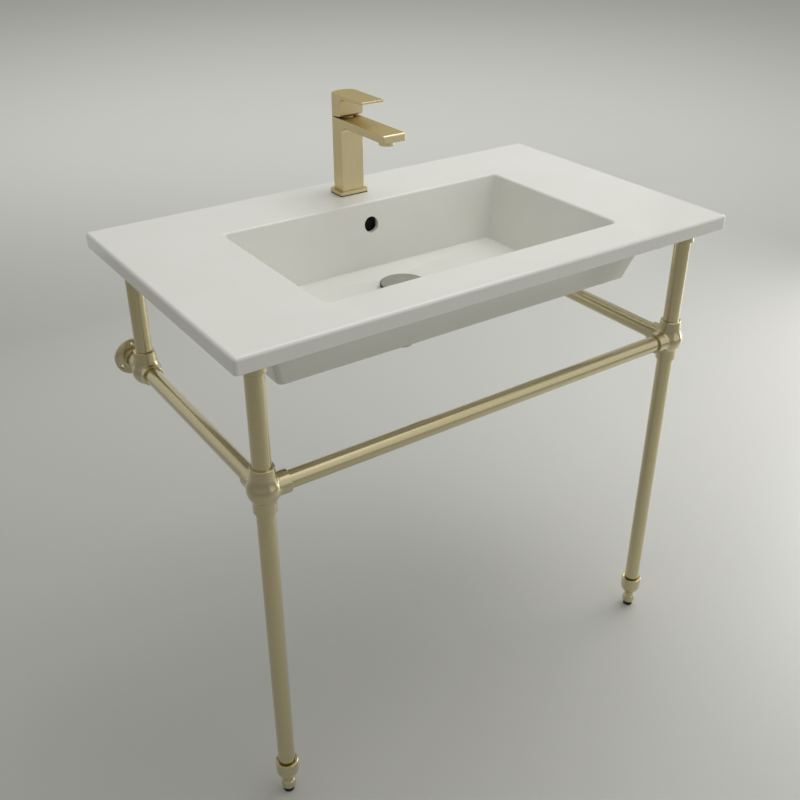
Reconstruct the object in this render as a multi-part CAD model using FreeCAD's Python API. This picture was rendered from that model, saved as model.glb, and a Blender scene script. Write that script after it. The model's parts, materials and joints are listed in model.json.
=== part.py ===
import FreeCAD, Part
import math
import os

# Console bathroom sink: a glazed ceramic top with one rectangular bowl, carried on a brass tube console
# with ball fittings, two levelling feet and two wall flanges, with a single-lever mixer and a click waste.
# Millimetres. +Z is up, +Y points to the wall, +X to the right of someone facing the sink.
# The origin is on the floor, below the middle of the sink's plan.

# Ceramic top
sink_width = 820.0
sink_depth = 478.0
sink_height = 776.0
apron_height = 22.5
apron_lip = 12.0
deck_thickness = 12.0
plan_corner = 5.0
top_edge_round = 5.0
apron_bottom_round = 1.5

# Bowl
bowl_width = 502.0
bowl_back_margin = 121.0
bowl_front_margin = 71.0
bowl_depth = 103.5
bowl_side_run = 23.0
bowl_back_run = 17.0
bowl_front_run = 33.0
bowl_back_corner = 6.0
bowl_front_corner = 12.0
bowl_floor_corner = 7.0
bowl_rim_round = 4.0
bowl_floor_round = 2.5
floor_fall = 8.5
floor_margin = 2.0
floor_ring = 7.0
floor_ring_flat = 4.0
floor_thickness = 7.0
ceramic_wall = 12.0

# Outside of the bowl, with an open pocket below the deck at each side
pocket_width = 62.5
pocket_corner = 8.0
skirt_side_run = 29.0
skirt_back_run = 13.0
skirt_front_run = 30.5
skirt_corner = 9.0
skirt_bottom_round = 3.0

# Overflow and waste hole in the ceramic
overflow_diameter = 25.0
overflow_drop = 36.0
duct_width = 34.0
duct_depth = 10.0
duct_wall = 6.0
duct_floor = 7.0
waste_back_margin = 214.5
waste_hole = 46.0
waste_boss = 100.0
waste_boss_height = 20.5

# Click waste
waste_flange = 67.0
waste_flange_thickness = 2.5
waste_flange_proud = 0.5
waste_gasket_thickness = 1.5
waste_thread = 44.0
waste_bore = 38.0
waste_body_length = 56.0
waste_window_width = 13.0
waste_nut_across = 58.0
waste_washer = 62.0
waste_gasket_inset = 0.5
waste_nut_height = 9.0
lower_gasket_thickness = 4.0
waste_washer_thickness = 1.5
tailpiece_diameter = 31.75
tailpiece_wall = 1.2
tailpiece_length = 38.0
tailpiece_thread = 12.0
plug_diameter = 72.0
plug_edge = 1.5
plug_crown = 2.2
plug_edge_round = 1.0
plug_lift = 4.5
plug_seal_diameter = 69.0
plug_seal_thickness = 3.0
plug_seal_recess = 1.0
plug_stem_diameter = 8.0
plug_stem_tail = 4.0
plug_guide_hub = 14.0
plug_guide_height = 26.0
plug_guide_vane = 3.0
plug_guide_drop = 14.0

# Brass console
tube_diameter = 25.4
tube_wall = 1.5
leg_side_inset = 42.0
leg_front_inset = 40.5
rear_post_inset = 58.0
rail_drop = 212.7
ball_diameter = 45.0
socket_diameter = 32.4
socket_reach = 34.0
short_socket_reach = 25.0
socket_depth = 20.5
socket_cove = 10.0
socket_chamfer = 0.8
deck_flange_diameter = 47.0
deck_flange_thickness = 4.0
deck_flange_drop = 39.0
deck_pad_thickness = 2.0
deck_pad_inset = 0.5
wall_flange_diameter = 59.0
wall_flange_edge = 3.5
wall_flange_dome = 8.0
wall_flange_swell = 1.0
wall_hub_height = 14.0
wall_seat = 4.0
wall_screw_circle = 45.0
wall_screw_hole = 5.0
wall_screw_head = 8.6
wall_screw_land = 0.5
set_screw = 4.0
set_screw_sink = 0.3

# Feet
collar_diameter = 34.4
collar_top = 65.5
collar_straight = 17.0
collar_bottom = 32.0
collar_neck = 20.0
collar_bulge = 3.0
collar_mouth = 30.0
collar_mouth_depth = 4.0
collar_seat = 45.0
foot_ball = 22.5
foot_neck = 16.5
foot_stem = 10.0
foot_stem_top = 70.0
glide_diameter = 16.0
glide_height = 4.0
glide_recess = 1.0
glide_edge_round = 0.5

# Mixer
mixer_back_margin = 61.5
mixer_hole = 35.0
mixer_width = 40.0
mixer_front = 14.5
mixer_side_back = 10.5
mixer_back_bulge = 8.0
mixer_height = 120.0
mixer_edge_round = 1.5
base_overhang = 3.5
base_height = 8.6
base_chamfer = 1.0
base_corner = 2.5
base_gasket_inset = 0.3
base_gasket_thickness = 1.6
base_opening = 30.0
spout_reach = 131.0
spout_thickness = 12.2
spout_fillet = 12.0
spout_nose_round = 3.2
spout_toe_round = 2.0
spout_tip_corner = 3.0
aerator_setback = 21.0
aerator_diameter = 24.0
aerator_thread = 21.0
aerator_drop = 7.6
aerator_thread_length = 5.5
aerator_bore = 17.0
aerator_chamfer = 0.8
aerator_shelf = 1.5
aerator_ledge = 1.0
aerator_washer_thickness = 1.0
screen_hole = 1.6
screen_pitch = 3.0
screen_thickness = 4.0
screen_margin = 2.0
inlet_hole = 8.9
inlet_depth = 14.0
inlet_spacing = 13.0
stud_diameter = 8.0
stud_offset = 10.5
stud_engagement = 15.0
stud_tail = 24.0
horseshoe_diameter = 52.0
horseshoe_slot = 26.0
horseshoe_thickness = 3.0
horseshoe_web = 1.5
mounting_nut_across = 13.0
mounting_nut_height = 10.0

# Cartridge and lever
cartridge_diameter = 17.0
cartridge_depth = 35.0
cartridge_wall = 2.0
cartridge_floor = 2.0
cartridge_nut_diameter = 20.0
cartridge_nut_depth = 9.0
cartridge_nut_dome = 2.3
cartridge_nut_edge = 1.0
cartridge_nut_slope = 0.3
cartridge_nut_opening = 14.5
disc_thickness = 3.0
disc_port = 3.0
rotor_top_drop = 2.0
pivot_drop = 6.0
pivot_pin = 3.0
spindle_size = 6.0
spindle_below = 9.0
spindle_above = 34.0
spindle_slot = 11.4
lever_height = 36.0
lever_reach = 73.5
lever_tip_thickness = 3.0
lever_tip_corner = 1.5
lever_root_thickness = 5.5
lever_fillet = 7.0
lever_edge_round = 0.8
lever_front_gap = 3.3
lever_back_gap = 0.8
lever_chamfer = 2.5
lever_cavity = 23.0
lever_cavity_height = 12.0
lever_screw = 5.0
lever_screw_length = 7.0

# Clearances
running_clearance = 0.05
fit_clearance = 0.02
moving_gap = 0.3

X = FreeCAD.Vector(1, 0, 0)
Y = FreeCAD.Vector(0, 1, 0)
Z = FreeCAD.Vector(0, 0, 1)
ORIGIN = FreeCAD.Vector(0, 0, 0)

# Places worked out from the sizes
wall_y = sink_depth / 2
front_y = -sink_depth / 2
deck_under = sink_height - deck_thickness
leg_x = sink_width / 2 - leg_side_inset
leg_y = front_y + leg_front_inset
rear_y = wall_y - rear_post_inset
rail_z = sink_height - rail_drop
seat_reach = socket_reach - socket_depth
bowl_back = wall_y - bowl_back_margin
bowl_front = front_y + bowl_front_margin
bowl_floor = sink_height - bowl_depth
waste_y = wall_y - waste_back_margin
waste_floor = bowl_floor - floor_fall
skirt_bottom = bowl_floor - floor_thickness
boss_bottom = waste_floor - waste_boss_height
overflow_z = sink_height - overflow_drop
mixer_y = wall_y - mixer_back_margin
mixer_base = sink_height + base_gasket_thickness
mixer_foot = mixer_base + base_height
mixer_top = sink_height + mixer_height
pivot_z = mixer_top - pivot_drop


def vec(x, y, z):
    return FreeCAD.Vector(x, y, z)


def cylinder(diameter, start, direction, length):
    return Part.makeCylinder(diameter / 2, length, start, direction)


def upright(diameter, x, y, low, high):
    return cylinder(diameter, vec(x, y, low), Z, high - low)


def ring(outer, inner, x, y, low, high):
    return upright(outer, x, y, low, high).cut(upright(inner, x, y, low, high))


def block(x0, x1, y0, y1, z0, z1):
    return Part.makeBox(x1 - x0, y1 - y0, z1 - z0, vec(x0, y0, z0))


def line(p, q):
    return Part.LineSegment(p, q).toShape()


def arc(p, middle, q):
    return Part.Arc(p, middle, q).toShape()


def quarter(start, corner, end):
    # A quarter round between two points, bulging towards a corner.
    chord = (start + end) * 0.5
    return arc(start, chord + (corner - chord) * (math.sqrt(2) - 1), end)


def lathe(points):
    # Turns a closed outline of (radius, height) points about the Z axis.
    outline = Part.makePolygon([vec(r, 0, z) for r, z in points + points[:1]])
    return Part.Face(outline).revolve(ORIGIN, Z, 360)


def moved(shape, x, y, z):
    copy = shape.copy()
    copy.translate(vec(x, y, z))
    return copy


def aimed(shape, direction, place):
    # Turns a piece made along +Z to another direction and puts its origin at a place.
    copy = shape.copy()
    copy.Placement = FreeCAD.Placement(place, FreeCAD.Rotation(Z, direction))
    return copy


def rounded_plan(x0, x1, y0, y1, z, front_round, back_round):
    # A rectangle at one height, with its own corner radius at the front (y0) and the back (y1).
    corners = [(x0, y0, 1, 1, front_round), (x1, y0, -1, 1, front_round),
               (x1, y1, -1, -1, back_round), (x0, y1, 1, -1, back_round)]
    edges = []
    ends = []
    for number, (x, y, sx, sy, r) in enumerate(corners):
        centre = vec(x + sx * r, y + sy * r, z)
        on_x = vec(x, y + sy * r, z)
        on_y = vec(x + sx * r, y, z)
        middle = centre + vec(-sx, -sy, 0) * (r / math.sqrt(2))
        first, last = (on_x, on_y) if number % 2 == 0 else (on_y, on_x)
        edges.append(arc(first, middle, last))
        ends.append((first, last))
    joined = []
    for number, edge in enumerate(edges):
        joined.append(edge)
        joined.append(line(ends[number][1], ends[(number + 1) % 4][0]))
    return Part.Wire(joined)


def prism(wire, height):
    return Part.Face(wire).extrude(Z * height)


def loft(*wires):
    return Part.makeLoft(list(wires), True, True)


def edges_at(shape, z, tolerance=0.01):
    # The edges that lie wholly at one height.
    found = []
    for edge in shape.Edges:
        box = edge.BoundBox
        if abs(box.ZMin - z) < tolerance and abs(box.ZMax - z) < tolerance:
            found.append(edge)
    return found


def save(name, shape):
    shape = shape.removeSplitter()
    solids = shape.Solids
    if not solids or not shape.isValid():
        raise ValueError("bad shape: " + name)
    result = solids[0] if len(solids) == 1 else Part.makeCompound(solids)
    result.exportStep(os.path.join("parts", name + ".step"))


# Ceramic top


def bowl_plan(z):
    # The inside of the bowl at a height: its walls lean inwards from the rim to the floor.
    share = (sink_height - z) / bowl_depth
    side = bowl_width / 2 - share * bowl_side_run
    back = bowl_back - share * bowl_back_run
    front = bowl_front + share * bowl_front_run
    grow = share * (bowl_floor_corner - bowl_back_corner)
    front_corner = bowl_front_corner + share * (bowl_floor_corner - bowl_front_corner)
    return rounded_plan(-side, side, front, back, z, front_corner, bowl_back_corner + grow)


def skirt_plan(z, inset):
    # The outside of the bowl at a height, or a line inside it.
    share = (deck_under - z) / (deck_under - skirt_bottom)
    side = bowl_width / 2 + 2 * ceramic_wall + pocket_width - share * skirt_side_run - inset
    front = bowl_front - ceramic_wall / 2 + share * skirt_front_run + inset
    back = bowl_back + ceramic_wall - share * skirt_back_run - inset
    return side, front, back


def dish(spread, drop):
    # The shallow fall of the floor to the waste, from near the walls to a flat ring round the hole.
    top = bowl_floor - drop
    inset = bowl_floor_round + floor_margin - spread
    side = bowl_width / 2 - bowl_side_run - inset
    back = bowl_back - bowl_back_run - inset
    front = bowl_front + bowl_front_run + inset
    half = plug_diameter / 2 + floor_ring + spread
    corner = bowl_floor_corner + spread
    upper = rounded_plan(-side, side, front, back, top, corner, corner)
    turn = half - floor_ring_flat
    lower = rounded_plan(-half, half, waste_y - half, waste_y + half, top - floor_fall, turn, turn)
    return loft(upper, lower)


def deck():
    plan = rounded_plan(-sink_width / 2, sink_width / 2, front_y, wall_y, sink_height - apron_height,
                        plan_corner, plan_corner)
    slab = prism(plan, apron_height)
    slab = slab.makeFillet(top_edge_round, edges_at(slab, sink_height))
    slab = slab.makeFillet(apron_bottom_round, edges_at(slab, sink_height - apron_height))
    inside = sink_width / 2 - apron_lip
    hollow = rounded_plan(-inside, inside, front_y + apron_lip, wall_y - apron_lip,
                          sink_height - apron_height, plan_corner, plan_corner)
    return slab.cut(prism(hollow, apron_height - deck_thickness))


def skirt():
    wires = []
    for z in (skirt_bottom, deck_under + 1):
        side, front, back = skirt_plan(z, 0)
        wires.append(rounded_plan(-side, side, front, back, z, skirt_corner, skirt_corner))
    shell = loft(*wires)
    return shell.makeFillet(skirt_bottom_round, edges_at(shell, skirt_bottom))


def side_pocket(sign):
    # The open hollow between the bowl's end wall and the outer skirt.
    wires = []
    for z in (skirt_bottom - 1, deck_under):
        side, front, back = skirt_plan(z, ceramic_wall)
        share = (sink_height - z) / bowl_depth
        inner = bowl_width / 2 - share * bowl_side_run + ceramic_wall
        x0, x1 = sorted((sign * inner, sign * side))
        wires.append(rounded_plan(x0, x1, front, back, z, pocket_corner, pocket_corner))
    return loft(*wires)


def overflow_duct():
    # The solid ridge behind and below the bowl, and the passage inside it from the overflow to the waste.
    share = overflow_drop / bowl_depth
    near = bowl_back - share * bowl_back_run + duct_wall
    far = near + duct_depth
    half = duct_width / 2
    low = boss_bottom + duct_floor
    outer = half + duct_wall
    ridge = block(-outer, outer, near - duct_wall, far + duct_wall, boss_bottom, deck_under + 1)
    keel = block(-outer, outer, waste_y, far + duct_wall, boss_bottom, skirt_bottom + 1)
    solid = ridge.fuse(keel)
    passage = block(-half, half, near, far, low, overflow_z + overflow_diameter / 2)
    passage = passage.fuse(block(-half, half, waste_y, far, low, skirt_bottom - floor_fall))
    mouth_length = far - (bowl_back - bowl_back_run)
    mouth = cylinder(overflow_diameter, vec(0, far, overflow_z), -Y, mouth_length)
    return solid, passage.fuse(mouth)


def basin():
    solid, passage = overflow_duct()
    outer = deck().fuse([skirt(), dish(ceramic_wall, floor_thickness), solid,
                         upright(waste_boss, 0, waste_y, boss_bottom, bowl_floor)])
    bowl = loft(bowl_plan(bowl_floor), bowl_plan(sink_height + 1))
    bowl = bowl.makeFillet(bowl_floor_round, edges_at(bowl, bowl_floor))
    body = outer.cut(bowl)
    rim = []
    for edge in edges_at(body, sink_height):
        box = edge.BoundBox
        inside_x = max(abs(box.XMin), abs(box.XMax)) < bowl_width / 2 + 1
        if inside_x and box.YMin > bowl_front - 1 and box.YMax < bowl_back + 1:
            rim.append(edge)
    body = body.makeFillet(bowl_rim_round, rim)
    recess = waste_flange_thickness + waste_gasket_thickness - waste_flange_proud
    cuts = [dish(0, 0), passage, side_pocket(-1), side_pocket(1)]
    cuts.append(upright(mixer_hole, 0, mixer_y, deck_under - 1, sink_height + 1))
    cuts.append(upright(waste_hole, 0, waste_y, boss_bottom - 1, bowl_floor))
    cuts.append(upright(waste_flange + 2 * moving_gap, 0, waste_y, waste_floor - recess, bowl_floor))
    save("basin", body.cut(cuts))


# Click waste


def hex_nut(across, height, bore, x, y, low):
    corners = []
    for number in range(7):
        angle = math.radians(60 * number)
        corners.append(vec(math.cos(angle), math.sin(angle), 0) * (across / math.sqrt(3)))
    body = Part.Face(Part.makePolygon(corners)).extrude(Z * height)
    return moved(body, x, y, low).cut(upright(bore, x, y, low - 1, low + height + 1))


def waste_fitting():
    flange_top = waste_floor + waste_flange_proud
    flange_low = flange_top - waste_flange_thickness
    body_end = flange_low - waste_body_length
    gasket_low = flange_low - waste_gasket_thickness
    body = upright(waste_flange, 0, waste_y, flange_low, flange_top)
    body = body.makeChamfer(waste_flange_thickness / 2, edges_at(body, flange_top))
    body = body.fuse(upright(waste_thread, 0, waste_y, body_end, flange_low))
    body = body.cut(upright(waste_bore, 0, waste_y, body_end - 1, flange_top + 1))
    window_low = boss_bottom + duct_floor
    window_high = skirt_bottom - floor_fall
    half = waste_window_width / 2
    for turn in (0, 90):
        window = block(-waste_thread, waste_thread, -half, half, window_low, window_high)
        window.rotate(ORIGIN, Z, turn)
        body = body.cut(moved(window, 0, waste_y, 0))
    save("waste_body", body)
    bore = waste_thread + 2 * fit_clearance
    gasket = waste_flange - 2 * waste_gasket_inset
    save("waste_gasket", ring(gasket, bore, 0, waste_y, gasket_low, flange_low))
    low = boss_bottom - lower_gasket_thickness
    save("waste_lower_gasket", ring(waste_washer, bore, 0, waste_y, low, boss_bottom))
    washer_low = low - waste_washer_thickness
    save("waste_washer", ring(waste_washer, bore, 0, waste_y, washer_low, low))
    nut_low = washer_low - waste_nut_height
    save("waste_locknut", hex_nut(waste_nut_across, waste_nut_height, bore, 0, waste_y, nut_low))
    pipe = upright(waste_bore - 2 * fit_clearance, 0, waste_y, body_end, body_end + tailpiece_thread)
    pipe_end = body_end - tailpiece_length
    pipe = pipe.fuse(upright(tailpiece_diameter, 0, waste_y, pipe_end, body_end))
    inner = tailpiece_diameter - 2 * tailpiece_wall
    pipe = pipe.cut(upright(inner, 0, waste_y, pipe_end - 1, body_end + tailpiece_thread + 1))
    save("waste_tailpiece", pipe)


def click_plug():
    flange_top = waste_floor + waste_flange_proud
    guide_top = flange_top - plug_guide_drop
    guide_low = guide_top - plug_guide_height
    guide = upright(plug_guide_hub, 0, waste_y, guide_low, guide_top)
    for number in range(3):
        vane = block(0, waste_bore / 2, -plug_guide_vane / 2, plug_guide_vane / 2, guide_low, guide_top)
        vane.rotate(ORIGIN, Z, 120 * number + 45)
        guide = guide.fuse(moved(vane, 0, waste_y, 0))
    guide = guide.common(upright(waste_bore - 2 * fit_clearance, 0, waste_y, guide_low, guide_top))
    stem_bore = plug_stem_diameter + 2 * running_clearance
    save("plug_guide", guide.cut(upright(stem_bore, 0, waste_y, guide_low - 1, guide_top + 1)))
    seal_low = flange_top + plug_lift + moving_gap
    seal_top = seal_low + plug_seal_thickness
    rim_low = seal_top - plug_seal_recess
    rim_high = rim_low + plug_edge
    rim = plug_diameter / 2
    recess = plug_seal_diameter / 2
    shoulder = vec(rim - plug_edge_round, 0, rim_high + plug_edge_round / 2)
    crown = vec(0, 0, rim_high + plug_crown)
    rise = crown.z - shoulder.z
    radius = (shoulder.x ** 2 + rise ** 2) / (2 * rise)
    swell = vec(shoulder.x / 2, 0, crown.z - radius + math.sqrt(radius ** 2 - shoulder.x ** 2 / 4))
    corners = [vec(0, 0, seal_top), vec(recess, 0, seal_top), vec(recess, 0, rim_low), vec(rim, 0, rim_low),
               vec(rim, 0, rim_high), shoulder]
    edges = [line(p, q) for p, q in zip(corners, corners[1:])]
    edges += [arc(shoulder, swell, crown), line(crown, corners[0])]
    cap = Part.Face(Part.Wire(edges)).revolve(ORIGIN, Z, 360)
    save("plug_cap", moved(cap, 0, waste_y, 0))
    save("plug_seal", ring(plug_seal_diameter - 2 * fit_clearance, plug_stem_diameter + 2 * fit_clearance,
                           0, waste_y, seal_low, seal_top))
    save("plug_stem", upright(plug_stem_diameter, 0, waste_y, guide_low - plug_stem_tail, seal_top))


# Brass console


def socket(length):
    # One socket along +Z, with a cove where it leaves the ball.
    ball = ball_diameter / 2
    outer = socket_diameter / 2
    cove_start = math.sqrt((ball + socket_cove) ** 2 - (outer + socket_cove) ** 2)
    ratio = ball / (ball + socket_cove)
    centre = vec(outer + socket_cove, 0, cove_start)
    foot = vec((outer + socket_cove) * ratio, 0, cove_start * ratio)
    top = vec(outer, 0, cove_start)
    middle = (foot + top) * 0.5 - centre
    middle = centre + middle * (socket_cove / middle.Length)
    rim = vec(outer, 0, length - socket_chamfer)
    lip = vec(outer - socket_chamfer, 0, length)
    end = vec(0, 0, length)
    start = vec(0, 0, foot.z)
    edges = [line(start, foot), arc(foot, middle, top), line(top, rim), line(rim, lip), line(lip, end)]
    edges.append(line(end, start))
    return Part.Face(Part.Wire(edges)).revolve(ORIGIN, Z, 360)


def ball_fitting(name, centre, outlets, screws):
    # A ball with one socket for each outlet, given as a direction and a reach from the centre.
    body = Part.makeSphere(ball_diameter / 2, centre)
    body = body.fuse([aimed(socket(reach), direction, centre) for direction, reach in outlets])
    bore = tube_diameter + 2 * fit_clearance
    cuts = [cylinder(bore, centre + d * seat_reach, d, socket_depth + 1) for d, reach in outlets]
    screw_length = (socket_diameter - tube_diameter) / 2 - fit_clearance - set_screw_sink
    for direction, reach in outlets:
        side = Y if direction.z else -Z
        place = centre + direction * ((seat_reach + reach) / 2)
        cuts.append(cylinder(set_screw + 2 * fit_clearance, place, side, socket_diameter))
        tip = place + side * (tube_diameter / 2 + fit_clearance)
        screws.append(cylinder(set_screw, tip, side, screw_length))
    save(name, body.cut(cuts))


def tube(name, start, end):
    along = end - start
    length = along.Length
    body = cylinder(tube_diameter, start, along, length)
    save(name, body.cut(cylinder(tube_diameter - 2 * tube_wall, start, along, length)))


def deck_flange(name, x, y):
    # Plate and sleeve that take the top of a post under the deck.
    top = deck_under - deck_pad_thickness
    low = sink_height - deck_flange_drop
    seat = top - deck_flange_thickness
    body = upright(deck_flange_diameter, x, y, seat, top)
    sleeve = upright(socket_diameter, x, y, low, seat)
    sleeve = sleeve.makeChamfer(socket_chamfer, edges_at(sleeve, low))
    save(name, body.fuse(sleeve).cut(upright(tube_diameter + 2 * fit_clearance, x, y, low - 1, seat)))


def wall_flange(name, x):
    # Domed disc on the wall, with three countersunk screw holes and a hub for the nipple.
    edge = wall_flange_diameter / 2
    hub = socket_diameter / 2
    swell = vec((edge + hub) / 2, 0, (wall_flange_edge + wall_flange_dome) / 2 + wall_flange_swell)
    corner = vec(edge, 0, wall_flange_edge)
    root = vec(hub, 0, wall_flange_dome)
    top = vec(hub, 0, wall_hub_height - socket_chamfer)
    lip = vec(hub - socket_chamfer, 0, wall_hub_height)
    middle = vec(0, 0, wall_hub_height)
    rim = vec(edge, 0, 0)
    edges = [line(ORIGIN, rim), line(rim, corner), arc(corner, swell, root), line(root, top),
             line(top, lip), line(lip, middle), line(middle, ORIGIN)]
    body = Part.Face(Part.Wire(edges)).revolve(ORIGIN, Z, 360)
    cuts = [upright(tube_diameter + 2 * fit_clearance, 0, 0, wall_seat, wall_hub_height + 1)]
    sink = (wall_screw_head - wall_screw_hole) / 2
    for number in range(3):
        angle = math.radians(90 + 120 * number)
        px = wall_screw_circle / 2 * math.cos(angle)
        py = wall_screw_circle / 2 * math.sin(angle)
        cuts.append(upright(wall_screw_hole, px, py, -1, wall_hub_height))
        cone_low = wall_flange_edge + wall_screw_land
        cuts.append(Part.makeCone(wall_screw_hole / 2, wall_screw_head / 2, sink, vec(px, py, cone_low)))
        cuts.append(upright(wall_screw_head, px, py, cone_low + sink, wall_hub_height))
    turned = body.cut(cuts)
    turned.rotate(ORIGIN, X, 90)
    save(name, moved(turned, x, wall_y, rail_z))


def foot(side, x):
    # Collar on the bottom of a leg, and the ball foot that screws out of it to level the sink.
    outer = collar_diameter / 2
    neck = collar_neck / 2
    straight_low = collar_top - collar_straight
    chord = vec((neck + outer) / 2, 0, (collar_bottom + straight_low) / 2)
    bulge = chord + vec(1, 0, -1) * (collar_bulge / 2)
    bottom = vec(neck, 0, collar_bottom)
    shoulder = vec(outer, 0, straight_low)
    rim = vec(outer, 0, collar_top - socket_chamfer)
    lip = vec(outer - socket_chamfer, 0, collar_top)
    low, high = vec(0, 0, collar_bottom), vec(0, 0, collar_top)
    edges = [line(low, bottom), arc(bottom, bulge, shoulder), line(shoulder, rim), line(rim, lip),
             line(lip, high), line(high, low)]
    collar = Part.Face(Part.Wire(edges)).revolve(ORIGIN, Z, 360)
    mouth_low = collar_top - collar_mouth_depth
    stem_bore = foot_stem + 2 * running_clearance
    collar = collar.cut([upright(collar_mouth, 0, 0, mouth_low, collar_top + 1),
                         upright(tube_diameter + 2 * fit_clearance, 0, 0, collar_seat, collar_top + 1),
                         upright(stem_bore, 0, 0, collar_bottom - 1, collar_seat + 1)])
    save(side + "_foot_collar", moved(collar, x, leg_y, 0))
    ball_z = glide_height + foot_ball / 2 - glide_recess
    ball = Part.makeSphere(foot_ball / 2, vec(0, 0, ball_z))
    ball = ball.cut(block(-foot_ball, foot_ball, -foot_ball, foot_ball, -foot_ball, glide_height))
    ball = ball.fuse([upright(foot_neck, 0, 0, ball_z, collar_bottom - moving_gap),
                      upright(foot_stem, 0, 0, ball_z, foot_stem_top)])
    save(side + "_levelling_foot", moved(ball, x, leg_y, 0))
    glide = upright(glide_diameter, 0, 0, 0, glide_height)
    save(side + "_foot_glide", moved(glide.makeFillet(glide_edge_round, edges_at(glide, 0)), x, leg_y, 0))


def console():
    screws = []
    pads = []
    pad_low = deck_under - deck_pad_thickness
    post_top = pad_low - deck_flange_thickness
    pad = deck_flange_diameter - 2 * deck_pad_inset
    for side, sign in (("left", -1), ("right", 1)):
        x = sign * leg_x
        front = vec(x, leg_y, rail_z)
        rear = vec(x, rear_y, rail_z)
        inwards = X * -sign
        front_outlets = [(direction, socket_reach) for direction in (Z, -Z, Y, inwards)]
        rear_outlets = [(Z, socket_reach), (Y, socket_reach), (-Y, short_socket_reach)]
        ball_fitting(side + "_front_fitting", front, front_outlets, screws)
        ball_fitting(side + "_rear_fitting", rear, rear_outlets, screws)
        tube(side + "_front_post", front + Z * seat_reach, vec(x, leg_y, post_top))
        tube(side + "_rear_post", rear + Z * seat_reach, vec(x, rear_y, post_top))
        tube(side + "_front_leg", vec(x, leg_y, collar_seat), front - Z * seat_reach)
        tube(side + "_side_rail", front + Y * seat_reach, rear - Y * seat_reach)
        tube(side + "_wall_nipple", rear + Y * seat_reach, vec(x, wall_y - wall_seat, rail_z))
        wall_flange(side + "_wall_flange", x)
        foot(side, x)
        for end, y in (("front", leg_y), ("rear", rear_y)):
            deck_flange(side + "_" + end + "_deck_flange", x, y)
            pads.append(upright(pad, x, y, pad_low, deck_under))
    tube("front_rail", vec(seat_reach - leg_x, leg_y, rail_z), vec(leg_x - seat_reach, leg_y, rail_z))
    save("deck_pads", Part.makeCompound(pads))
    save("fitting_set_screws", Part.makeCompound(screws))


# Mixer


def mixer_plan(z, grow, front, corner):
    # The mixer in plan: straight sides, a straight front and a back that bows towards the wall.
    half = mixer_width / 2 + grow
    back = mixer_y + mixer_side_back + grow
    bow = vec(0, back + mixer_back_bulge, z)
    left, right = vec(-half, back, z), vec(half, back, z)
    left_side, right_side = vec(-half, front + corner, z), vec(half, front + corner, z)
    left_front, right_front = vec(corner - half, front, z), vec(half - corner, front, z)
    edges = [line(left, left_side), quarter(left_side, vec(-half, front, z), left_front),
             line(left_front, right_front), quarter(right_front, vec(half, front, z), right_side),
             line(right_side, right), arc(right, bow, left)]
    return Part.Wire(edges)


def side_profile(edges):
    # Extrudes an outline in the YZ plane across the mixer's width.
    face = Part.Face(Part.Wire(edges))
    face.translate(X * (-mixer_width / 2))
    return face.extrude(X * mixer_width)


def yz(y, z):
    return vec(0, y, z)


def mixer_base_pieces():
    front = mixer_y - mixer_front - base_overhang
    plate = prism(mixer_plan(mixer_base, base_overhang, front, base_corner), base_height)
    plate = plate.makeChamfer(base_chamfer, edges_at(plate, mixer_foot))
    save("mixer_base_plate", plate.cut(upright(base_opening, 0, mixer_y, mixer_base - 1, mixer_foot + 1)))
    grow = base_overhang - base_gasket_inset
    plan = mixer_plan(sink_height, grow, front + base_gasket_inset, base_corner)
    gasket = prism(plan, base_gasket_thickness)
    opening = upright(base_opening, 0, mixer_y, sink_height - 1, mixer_base + 1)
    save("mixer_base_gasket", gasket.cut(opening))


def mixer_body():
    front = mixer_y - mixer_front
    back = mixer_y + mixer_side_back + mixer_back_bulge
    tip = mixer_y - spout_reach
    under = mixer_top - spout_thickness
    r = spout_nose_round
    lower_start, lower_end = yz(front, under - spout_fillet), yz(front - spout_fillet, under)
    nose_start, nose_end = yz(tip, mixer_top - r), yz(tip + r, mixer_top)
    toe_start, toe_end = yz(tip + spout_toe_round, under), yz(tip, under + spout_toe_round)
    inner = yz(front, under)
    edges = [line(yz(back, mixer_foot), yz(front, mixer_foot)), line(yz(front, mixer_foot), lower_start),
             quarter(lower_start, inner, lower_end), line(lower_end, toe_start),
             quarter(toe_start, yz(tip, under), toe_end), line(toe_end, nose_start),
             quarter(nose_start, yz(tip, mixer_top), nose_end), line(nose_end, yz(back, mixer_top)),
             line(yz(back, mixer_top), yz(back, mixer_foot))]
    body = side_profile(edges)
    front_edges = []
    for edge in body.Edges:
        box = edge.BoundBox
        upright_edge = box.ZLength > 20 and box.XLength < 0.01 and box.YLength < 0.01
        if upright_edge and abs(box.YMin - front) < 0.01:
            front_edges.append(edge)
    body = body.makeFillet(mixer_edge_round, front_edges)
    body = body.common(prism(mixer_plan(mixer_foot, 0, tip, spout_tip_corner), mixer_height))
    bore_low = mixer_top - cartridge_depth
    nut_low = mixer_top - cartridge_nut_depth
    cuts = [upright(cartridge_diameter + 2 * fit_clearance, 0, mixer_y, bore_low, mixer_top + 1),
            upright(cartridge_nut_diameter + 2 * fit_clearance, 0, mixer_y, nut_low, mixer_top + 1)]
    inlet_top = mixer_foot + inlet_depth
    for x in (-inlet_spacing / 2, inlet_spacing / 2):
        cuts.append(upright(inlet_hole, x, mixer_y, mixer_foot - 1, inlet_top))
    stud_hole = stud_diameter + 2 * fit_clearance
    stud_top = mixer_foot + stud_engagement
    cuts.append(upright(stud_hole, 0, mixer_y + stud_offset, mixer_foot - 1, stud_top))
    spout_hole = aerator_thread + 2 * fit_clearance
    top = under + aerator_thread_length + aerator_washer_thickness
    cuts.append(upright(spout_hole, 0, tip + aerator_setback, under - 1, top))
    save("mixer_body", body.cut(cuts))


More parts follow.
